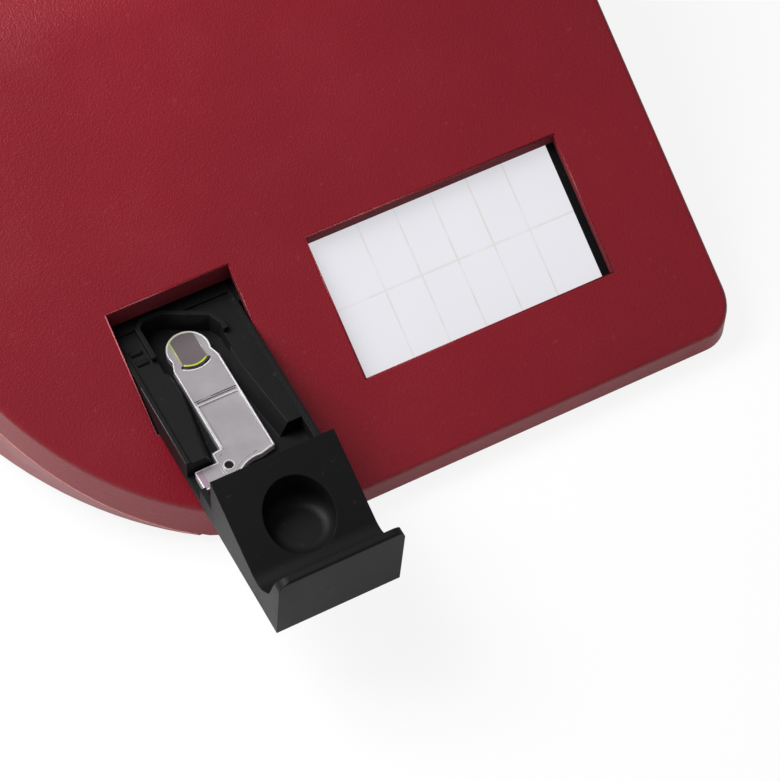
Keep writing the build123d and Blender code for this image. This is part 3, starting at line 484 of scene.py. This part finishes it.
def flatCable(name, look):
    material, surface, start = newMaterial(name)
    point = place(start)
    across = point.split()[0]
    wires = 1 - start.math("PINGPONG", across, look["pitch"] / 2).between(*look["wireEdge"])
    cloud = speckle(start, point, *look["filmNoise"]).between(*look["filmSpan"])
    tone = cloud.mixed(shaded(look["film"], look["filmShade"]), look["film"])
    join((wires * look["wireShare"]).mixed(tone, look["metal"]), surface, "Base Color")
    join(look["roughness"] + cloud * look["filmRough"], surface, "Roughness")
    join(raised(start, wires, look["wireDepth"], look["wireStrength"]), surface, "Normal")
    return material


# Soft rubber: matt, with fine pits and grey bloom
rubberLook = {
    "colour": linear(26, 26, 27),
    "bloom": linear(70, 69, 68),
    "bloomNoise": (240, 4.0, 0.6),
    "bloomSpan": (0.4, 0.75),
    "bloomShare": 0.35,
    "bloomRough": 0.15,
    "roughness": 0.7,
    "pitScale": 1300,
    "pitSpan": (0.1, 0.4),
    "pitDepth": 0.05 * mm,
    "pitStrength": 0.5,
}


def softRubber(name, look):
    material, surface, start = newMaterial(name)
    point = place(start)
    bloom = speckle(start, point, *look["bloomNoise"]).between(*look["bloomSpan"])
    pits = cells(start, point, look["pitScale"]).between(*look["pitSpan"])
    tone = (bloom * look["bloomShare"]).mixed(look["colour"], look["bloom"])
    join(tone, surface, "Base Color")
    join(look["roughness"] + bloom * look["bloomRough"], surface, "Roughness")
    join(raised(start, pits, look["pitDepth"], look["pitStrength"]), surface, "Normal")
    return material


def finish(names, material):
    for name in names:
        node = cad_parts[name]
        node.data.materials.clear()
        node.data.materials.append(material)


def nodesEnding(*endings):
    return [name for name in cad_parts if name.endswith(endings)]


finish(["top_shell"], mouldedPlastic("caseRed", roofLook))
finish(["bottom_shell", "battery_door"], mouldedPlastic("caseRose", lowerLook))
finish(["drawer_tray"], mouldedPlastic("drawerBlack", drawerLook))
finish(["drawer_guide", "battery_box"], mouldedPlastic("innerBlack", insideLook))
finish(["display_bezel"], mouldedPlastic("bezelBlack", bezelLook))
finish(["lcd_module"], mouldedPlastic("lcdFrame", frameLook))
finish(["lamp_housing", "detector_housing", "lens_ring"], mouldedPlastic("opticsBlack", opticsLook))
finish(["power_inlet", "switch_frame", "rocker"], mouldedPlastic("switchBlack", switchLook))
finish(["logic_chips", "buzzer", "position_sensor"], mouldedPlastic("chipBlack", chipLook))
finish(["board_sockets"], mouldedPlastic("nylonPale", nylonLook))
finish(["panel_gasket"], mouldedPlastic("gasketFoam", foamLook))
finish(["battery_cells"], cellSleeve("cellSleeve", sleeveLook))
finish(["touch_panel"], displayFace("displayFace", displayLook))
finish(["cuvette"], clearPlastic("cuvetteClear", cuvetteLook))
finish(["condenser_lens"], clearPlastic("lensClear", lensLook))
finish(["lamp_led"], clearPlastic("ledClear", ledLook))
finish(nodesEnding("_board"), circuitBoard("boardGreen", boardLook))
finish(["display_cable"], flatCable("cableFilm", cableLook))
finish(["rubber_feet"], softRubber("feetRubber", rubberLook))
finish(nodesEnding("_screws", "_screw"), workedMetal("screwZinc", screwLook))
finish(["detent_spring", "contact_plates", "door_contacts"], workedMetal("springSteel", springLook))
finish(["capacitors", "photodiode"], workedMetal("canMetal", canLook))
finish(["data_socket"], workedMetal("socketNickel", socketLook))
print("materials on", len(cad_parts), "nodes")

# The cuvette's middle line, the end of its round tip and its top face, in mm on the desk
cuvettePlace = {"middle": -32.5, "tip": -22.9, "top": 25.35}


# Where a spot of the cuvette's plan lies: across from its middle line, along from its round tip
def onCuvette(across, along):
    back = cuvettePlace["tip"] - along
    return Vector(((across + cuvettePlace["middle"]) * mm, back * mm))


def arc(middle, radius, first, last, steps):
    spots = []
    for step in range(steps + 1):
        turn = math.radians(first + (last - first) * step / steps)
        spots.append((middle[0] + radius * math.sin(turn), middle[1] - radius * math.cos(turn)))
    return spots


def newPiece(name, mesh, material, body, smooth=True):
    bmesh.ops.recalc_face_normals(mesh, faces=mesh.faces)
    data = bpy.data.meshes.new(name)
    mesh.to_mesh(data)
    mesh.free()
    piece = bpy.data.objects.new(name, data)
    bpy.context.scene.collection.objects.link(piece)
    data.materials.append(material)
    for face in data.polygons:
        face.use_smooth = smooth
    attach(piece, body)


# Neighbouring rings of a swept piece; where its path is open, both of its ends get a cap
def ringPairs(mesh, rings, closed=False):
    pairs = list(zip(rings, rings[1:]))
    if closed:
        return pairs + [(rings[-1], rings[0])]
    mesh.faces.new(rings[0])
    mesh.faces.new(reversed(rings[-1]))
    return pairs


# A low rounded rib along a path on the cuvette: shares of its width and height across it
ribProfile = [(-0.5, 0.0), (-0.42, 0.6), (-0.18, 1.0), (0.18, 1.0), (0.42, 0.6), (0.5, 0.0)]
sharpestCorner = 0.5                       # keeps a rib at its corners under twice its width


def rib(name, look, material, closed=False):
    mesh = bmesh.new()
    path = [onCuvette(*spot) for spot in look["path"]]
    last = len(path) - 1
    rings = []
    for index, here in enumerate(path):
        entering = here - path[index - 1]
        leaving = path[(index + 1) % len(path)] - here
        if not closed and index == 0:
            entering = leaving
        if not closed and index == last:
            leaving = entering
        entering, leaving = entering.normalized(), leaving.normalized()
        along = (leaving + entering).normalized()
        corner = max(sharpestCorner, along.dot(leaving))
        aside = Vector((-along.y, along.x)) * look["width"] / corner
        ring = []
        for offset, height in ribProfile:
            spot = here + aside * offset
            ring.append(mesh.verts.new((spot.x, spot.y, look["base"] + height * look["height"])))
        rings.append(ring)
    for first, second in ringPairs(mesh, rings, closed):
        for side in range(len(ribProfile) - 1):
            mesh.faces.new((first[side], second[side], second[side + 1], first[side + 1]))
    newPiece(name, mesh, material, look["body"])


# A thin flat film cut to a closed path
def film(name, look, material):
    mesh = bmesh.new()
    path = [onCuvette(*spot) for spot in look["path"]]
    top = look["base"] + look["height"]
    low = [mesh.verts.new((spot.x, spot.y, look["base"])) for spot in path]
    high = [mesh.verts.new((spot.x, spot.y, top)) for spot in path]
    mesh.faces.new(high)
    mesh.faces.new(reversed(low))
    for index in range(len(path)):
        after = (index + 1) % len(path)
        mesh.faces.new((low[index], low[after], high[after], high[index]))
    newPiece(name, mesh, material, look["body"], smooth=False)


# painted highlight: near white for the cuvette's moulded edges
edgeLook = dict(clearLook, colour=linear(236, 234, 238), alpha=0.9, roughness=0.16)
glowLook = dict(clearLook, colour=linear(196, 204, 62), alpha=0.95, roughness=0.2)
smokeLook = dict(clearLook, colour=linear(98, 88, 92), alpha=0.93, roughness=0.5, coat=0.0)
darkLook = dict(clearLook, colour=linear(58, 54, 56), alpha=0.95, roughness=0.3)
lilacLook = dict(clearLook, colour=linear(158, 132, 150), alpha=0.9, roughness=0.25)
paintedHighlightEdge = clearPlastic("paintedHighlightEdge", edgeLook)
glowClear = clearPlastic("glowClear", glowLook)
greyClear = clearPlastic("greyClear", dict(edgeLook, colour=linear(172, 164, 168)))
paleClear = clearPlastic("paleClear", dict(edgeLook, colour=linear(206, 202, 206)))
smokeClear = clearPlastic("smokeClear", smokeLook)
seamClear = clearPlastic("seamClear", darkLook)
lilacClear = clearPlastic("lilacClear", lilacLook)

# Middles of the cuvette's arcs: the round tip, the filling mouth and the hollow foot
tipMiddle = (0, 4.8)
mouthMiddle = (0, 4.5)
footMiddle = (0.965, 42.206)

# What all the fine pieces on the cuvette's top face share
onTopLook = {"base": cuvettePlace["top"] * mm, "body": "cuvette", "slot": "cuvette_clear"}

# Moulded edge all round the cuvette, painted near white as a painted highlight
rimTip = arc(tipMiddle, 4.56, -109, 109, 30)
rimFoot = arc(footMiddle, 7.3, 6.8, -51, 9)
rimWing = [(-12.36, 37.76), (-12.36, 33.16), (-7.16, 33.16), (-7.06, 30.72), (-5.06, 30.42)]
rimLook = dict(
    onTopLook,
    width=0.26 * mm,
    height=0.07 * mm,
    path=rimTip + [(5.06, 8.6), (5.06, 34.1)] + rimFoot + rimWing + [(-5.06, 8.6)],
)
rib("cuvetteRim", rimLook, paintedHighlightEdge, closed=True)

# Smoky measuring chamber behind the tip, its yellow-green left wall and its grey right wall
chamberLook = dict(
    onTopLook,
    height=0.02 * mm,
    path=arc(tipMiddle, 4.36, -41, 41, 12) + arc(mouthMiddle, 4.4, 139, 221, 12),
)
leftWallLook = dict(rimLook, width=0.2 * mm, height=0.06 * mm, path=[(-2.86, 1.5), (-2.86, 7.7)])
rightWallLook = dict(leftWallLook, path=[(2.86, 1.5), (2.86, 7.7)])
film("chamberFilm", chamberLook, smokeClear)
rib("chamberLeft", leftWallLook, glowClear)
rib("chamberRight", rightWallLook, greyClear)

# Fine yellow-green line inside the tip's rim
tipGlowLook = dict(leftWallLook, width=0.16 * mm, path=arc(tipMiddle, 4.32, -72, 26, 14))
rib("tipGlow", tipGlowLook, glowClear)

# Curved filling mouth: yellow-green at its inner lip, painted white at its outer lip as a painted
# highlight
outerLipLook = dict(rimLook, width=0.3 * mm, height=0.08 * mm)
outerLipLook["path"] = arc(mouthMiddle, 5.58, 143, 217, 16)
innerLipLook = dict(outerLipLook, width=0.42 * mm, path=arc(mouthMiddle, 4.42, 143, 217, 16))
rib("mouthInner", innerLipLook, glowClear)
rib("mouthOuter", outerLipLook, paintedHighlightEdge)

# Raised border of the grip panel
borderLook = dict(
    rimLook,
    height=0.06 * mm,
    path=[(-4.55, 30.6), (-4.75, 29.6), (-4.75, 18.6), (4.75, 18.6), (4.75, 33.2)],
)
rib("panelBorder", borderLook, paleClear)

# The border goes on round the pin and along the hollow foot
footSide = [(-5.6, 31.5), (-6.7, 31.9), (-6.7, 35.9), (-6.2, 36.5), (-5.2, 36.4)]
footLook = dict(borderLook, path=footSide + arc(footMiddle, 8.2, -46, 2, 8))
rib("footBorder", footLook, greyClear)

# Dark seam across the cuvette above the panel
crossSeamLook = dict(rimLook, width=0.24 * mm, height=0.03 * mm, path=[(-5.0, 17.5), (5.0, 17.5)])
rib("crossSeam", crossSeamLook, seamClear)

# Collar round the pin
collarLook = dict(borderLook, path=arc((-5.3, 34.5), 1.14, 0, 340, 17))
rib("pinCollar", collarLook, paleClear, closed=True)

# Fold where the side wing begins, and the lilac strip at the wing's end
foldLook = dict(borderLook, path=[(-7.2, 33.4), (-7.2, 37.6)])
stripLook = dict(
    chamberLook,
    height=0.03 * mm,
    path=[(-12.2, 33.3), (-11.0, 33.3), (-11.0, 37.6), (-12.2, 37.6)],
)
rib("wingFold", foldLook, greyClear)
film("wingStrip", stripLook, lilacClear)
print("cuvette dressed")


# A round bead along points on the case; each outward is level and square to the path
beadSides = 8


def bead(name, spots, outwards, look, material):
    mesh = bmesh.new()
    last = len(spots) - 1
    rings = []
    for index, (here, outward) in enumerate(zip(spots, outwards)):
        along = (spots[min(index + 1, last)] - spots[max(index - 1, 0)]).normalized()
        upward = along.cross(outward).normalized()
        ring = []
        for side in range(beadSides):
            turn = math.radians(360 / beadSides * side)
            offset = outward * math.cos(turn) + upward * math.sin(turn)
            ring.append(mesh.verts.new(here + offset * look["radius"]))
        rings.append(ring)
    for first, second in ringPairs(mesh, rings):
        for side in range(beadSides):
            after = (side + 1) % beadSides
            mesh.faces.new((first[side], first[after], second[after], second[side]))
    newPiece(name, mesh, material, look["body"])


# The roof from the side, in degrees and mm: its front slope and rear fall meet in a rounding
roofShape = {
    "slope": 30,
    "fall": 8,
    "rounding": 40,
    "front": -20.4,
    "frontHeight": 34.1,
    "ridgeHeight": 69.5,                   # where slope and fall would meet unrounded
}


# Height of a line that runs a set depth under the roof, at a distance back on the desk, in mm
def underRoof(back, depth):
    slope, fall = math.radians(roofShape["slope"]), math.radians(roofShape["fall"])
    rise, drop = math.tan(slope), math.tan(fall)
    front = roofShape["front"]
    low = roofShape["frontHeight"] - depth / math.cos(slope)
    high = roofShape["ridgeHeight"] - depth / math.cos(fall)
    ridge = front + (roofShape["ridgeHeight"] - roofShape["frontHeight"]) / rise
    peak = (high - low + rise * front + drop * ridge) / (rise + drop)
    top = low + rise * (peak - front)
    radius = roofShape["rounding"] - depth
    reach = radius * math.tan((slope + fall) / 2)
    start = peak - reach * math.cos(slope)
    if back < start:
        return low + rise * (back - front)
    if back > peak + reach * math.cos(fall):
        return top - drop * (back - peak)
    middle = start + radius * math.sin(slope)
    centre = top - reach * math.sin(slope) - radius * math.cos(slope)
    return centre + math.sqrt(radius ** 2 - (back - middle) ** 2)


# The case's plan in mm and degrees, clockwise from the front left: each round corner's middle,
# radius, first and last angle, and then where the right side ends
casePlan = {
    "corners": [
        ((-10.2, 7.2), 73.2, 208.55, 270),
        ((-63.4, 74.0), 20, 270, 360),
        ((63.4, 74.0), 20, 0, 90),
    ],
    "cornerParts": 6,                      # at least
    "rightSide": 83.4,
    "rightEnd": -57.1,
}


def caseOutline(inset, step):
    spots, outwards = [], []
    for (across, back), radius, first, last in casePlan["corners"]:
        parts = max(casePlan["cornerParts"], int(math.radians(last - first) * radius / step))
        for part in range(parts + 1):
            turn = math.radians(first + (last - first) * part / parts)
            outward = Vector((math.sin(turn), math.cos(turn), 0))
            spots.append(Vector((across, back, 0)) + outward * (radius - inset))
            outwards.append(outward)
    spots.append(Vector((casePlan["rightSide"] - inset, casePlan["rightEnd"], 0)))
    outwards.append(Vector((1, 0, 0)))
    full, sides = [spots[0]], [outwards[0]]
    for before, here, outward in zip(spots, spots[1:], outwards[1:]):
        parts = max(1, int((here - before).length / step))
        for part in range(parts):
            full.append(before.lerp(here, (part + 1) / parts))
            sides.append(outward)
    return full, sides


# The lower shell's rounded upper edge just under the seam, painted pale rose as a painted highlight
seamBeadLook = {
    "radius": 0.22 * mm,
    "inset": 0.24,                         # in mm, as are depth and step
    "depth": 9.05,
    "step": 2.0,
    "body": "housing",
    "slot": "rose_case",
}
# painted highlight: a pale rose far lighter than the shell
seamHighlightPaint = dict(lowerLook, roughness=0.24, colour=linear(240, 160, 152), grainStrength=0.3)


def makeSeamBead(look):
    spots, outwards = caseOutline(look["inset"], look["step"])
    placed = [Vector((spot.x, spot.y, underRoof(spot.y, look["depth"]))) * mm for spot in spots]
    bead("seamBead", placed, outwards, look, mouldedPlastic("seamPaintedHighlight", seamHighlightPaint))


makeSeamBead(seamBeadLook)

# Softly rounded lips of the roof's two cut-outs; the slot's left one is painted paler red as a
# painted highlight
lipLook = {
    "radius": 0.2 * mm,
    "sunk": 0.12,                          # in mm, as is aside
    "aside": 0.1,
    "paintedHighlight": "slotLip0",
    "body": "housing",
    "slot": "red_case",
}
lipPaint = dict(caseLook, roughness=0.3)
# painted highlight: a paler red for the slot's left lip
paintedHighlightLipPaint = dict(lipPaint, colour=linear(180, 88, 94))


def makeLips(name, hole, look, fullRound):
    left, right, front, rear = hole
    corners = [(left, front), (left, rear), (right, rear), (right, front)]
    if fullRound:
        corners.append(corners[0])
    for number, ends in enumerate(zip(corners, corners[1:])):
        spots = [Vector((x, y, underRoof(y, look["sunk"]))) * mm for x, y in ends]
        side = (spots[1] - spots[0]).cross(Vector((0, 0, 1))).normalized()
        spots = [spot + side * look["aside"] * mm for spot in spots]
        piece = name + str(number)
        bead(piece, spots, [side, side], look, paintedHighlightLip if piece == look["paintedHighlight"] else lipRed)


lipRed = mouldedPlastic("lipRed", lipPaint)
paintedHighlightLip = mouldedPlastic("paintedHighlightLip", paintedHighlightLipPaint)
makeLips("slotLip", slotHole, lipLook, fullRound=False)
makeLips("windowLip", windowHole, lipLook, fullRound=True)
print("case dressed")

# Painted highlight: a pale grey bead on the outer edge of the drawer's left wall, from the slot to
# the wall's end
wallEdgeLook = {
    "radius": 0.1 * mm,
    "across": -46.47,                      # in mm, as are front, rear and up
    "front": -55.2,
    "rear": -34.0,
    "up": 28.67,
    "body": "drawer",
    "slot": "drawer_black",
}
# painted highlight: a pale grey far lighter than the black tray
wallEdgeHighlightPaint = dict(drawerLook, colour=linear(92, 92, 90), dust=0.0)


def makeWallEdge(look):
    ends = (look["front"], look["rear"])
    spots = [Vector((look["across"], back, look["up"])) * mm for back in ends]
    side = Vector((-1, 0, 0))
    bead("wallEdge", spots, [side, side], look, mouldedPlastic("edgePaintedHighlight", wallEdgeHighlightPaint))


makeWallEdge(wallEdgeLook)
print("drawer dressed")


def emptyTree(owner):                      # a wire in a cleared tree of its own
    owner.use_nodes = True
    owner.node_tree.nodes.clear()
    return Wire(owner.node_tree)


def lightRays(start):                      # Light Path's outputs by name
    outputs = start.node("LightPath").socket.node.outputs
    return {output.name: Wire(start.tree, output) for output in outputs}


# Floor: white to the camera and to gloss, and it still takes the object's soft shadow
floorLook = {
    "size": 4.0,
    "colour": (0.93, 0.93, 0.93, 1.0),
    "lift": 0.88,
    "gloss": 0.5,
    "drop": 0.2 * mm,
}


def makeFloor(look):
    half = look["size"] / 2
    mesh = bpy.data.meshes.new("floor")
    corners = [(-half, -half, 0), (half, -half, 0), (half, half, 0), (-half, half, 0)]
    mesh.from_pydata(corners, [], [(0, 1, 2, 3)])
    floor = bpy.data.objects.new("floor", mesh)
    bpy.context.scene.collection.objects.link(floor)
    material = bpy.data.materials.new("floorPale")
    start = emptyTree(material)
    diffuse = start.node("BsdfDiffuse", {}, {"Color": look["colour"]})
    glow = start.node("Emission", {}, {"Color": white, "Strength": 1.0})
    rays = lightRays(start)
    clear = start.math("MAXIMUM", rays["Is Camera Ray"], rays["Is Transmission Ray"])
    seen = start.math("MAXIMUM", clear * look["lift"], rays["Is Glossy Ray"] * look["gloss"])
    mix = start.node("MixShader", {}, {0: seen, 1: diffuse, 2: glow})
    start.node("OutputMaterial", {}, {"Surface": mix})
    mesh.materials.append(material)
    floor.location.z = -look["drop"]


makeFloor(floorLook)

# Room light: an even pale surround, white where the camera sees it
surroundLook = {"colour": (0.97, 0.98, 1.0, 1.0), "strength": 0.26}


def makeSurround(look):
    world = bpy.data.worlds.new("surround")
    bpy.context.scene.world = world
    start = emptyTree(world)
    seen = lightRays(start)["Is Camera Ray"]
    light = start.node("Background", {}, {"Color": look["colour"], "Strength": look["strength"]})
    backdrop = start.node("Background", {}, {"Color": white, "Strength": 1.0})
    mix = start.node("MixShader", {}, {0: seen, 1: light, 2: backdrop})
    start.node("OutputWorld", {}, {"Surface": mix})


makeSurround(surroundLook)

# Three soft boxes: place, the point each one faces, size and power
softBoxes = {
    "keyTop": {
        "place": (-0.24, 0.12, 0.42),
        "faces": (-0.08, 0, 0.03),
        "size": 0.3,
        "power": 3.0,
    },
    "rearLeft": {
        "place": (-0.75, 0.2, 0.45),
        "faces": (-0.05, 0, 0.03),
        "size": 0.5,
        "power": 1.4,
    },
    "frontLow": {
        "place": (-0.5, -1.0, 0.4),
        "faces": (0, 0, 0.03),
        "size": 0.6,
        "power": 0.5,
    },
}


def makeSoftBox(name, look):
    data = bpy.data.lights.new(name, "AREA")
    data.shape = "SQUARE"
    data.size = look["size"]
    data.energy = look["power"]
    lamp = bpy.data.objects.new(name, data)
    lamp.location = look["place"]
    aim = Vector(look["faces"]) - Vector(look["place"])
    lamp.rotation_euler = aim.to_track_quat("-Z", "Y").to_euler()
    bpy.context.scene.collection.objects.link(lamp)


for boxName, boxLook in softBoxes.items():
    makeSoftBox(boxName, boxLook)

# Camera at the photograph's angle
cameraLook = {
    "place": (-0.18356, -0.36925, 0.56434),
    "azimuth": 30.456,
    "elevation": 56.053,
    "roll": 2.504,
    "lens": 142.9,
    "sensor": 36,
    "clipStart": 0.02,
}


def makeCamera(look):
    data = bpy.data.cameras.new("camera")
    data.lens = look["lens"]
    data.sensor_width = look["sensor"]
    data.clip_start = look["clipStart"]
    camera = bpy.data.objects.new("camera", data)
    angles = (math.radians(90 - look["elevation"]), 0, math.radians(-look["azimuth"]))
    turn = Euler(angles, "XYZ").to_matrix()
    tilt = Matrix.Rotation(math.radians(look["roll"]), 3, "Z")
    camera.rotation_euler = (turn @ tilt).to_euler()
    camera.location = look["place"]
    bpy.context.scene.collection.objects.link(camera)
    bpy.context.scene.camera = camera


makeCamera(cameraLook)
bpy.context.scene.view_settings.view_transform = "Standard"
print("camera, floor and lights in place")
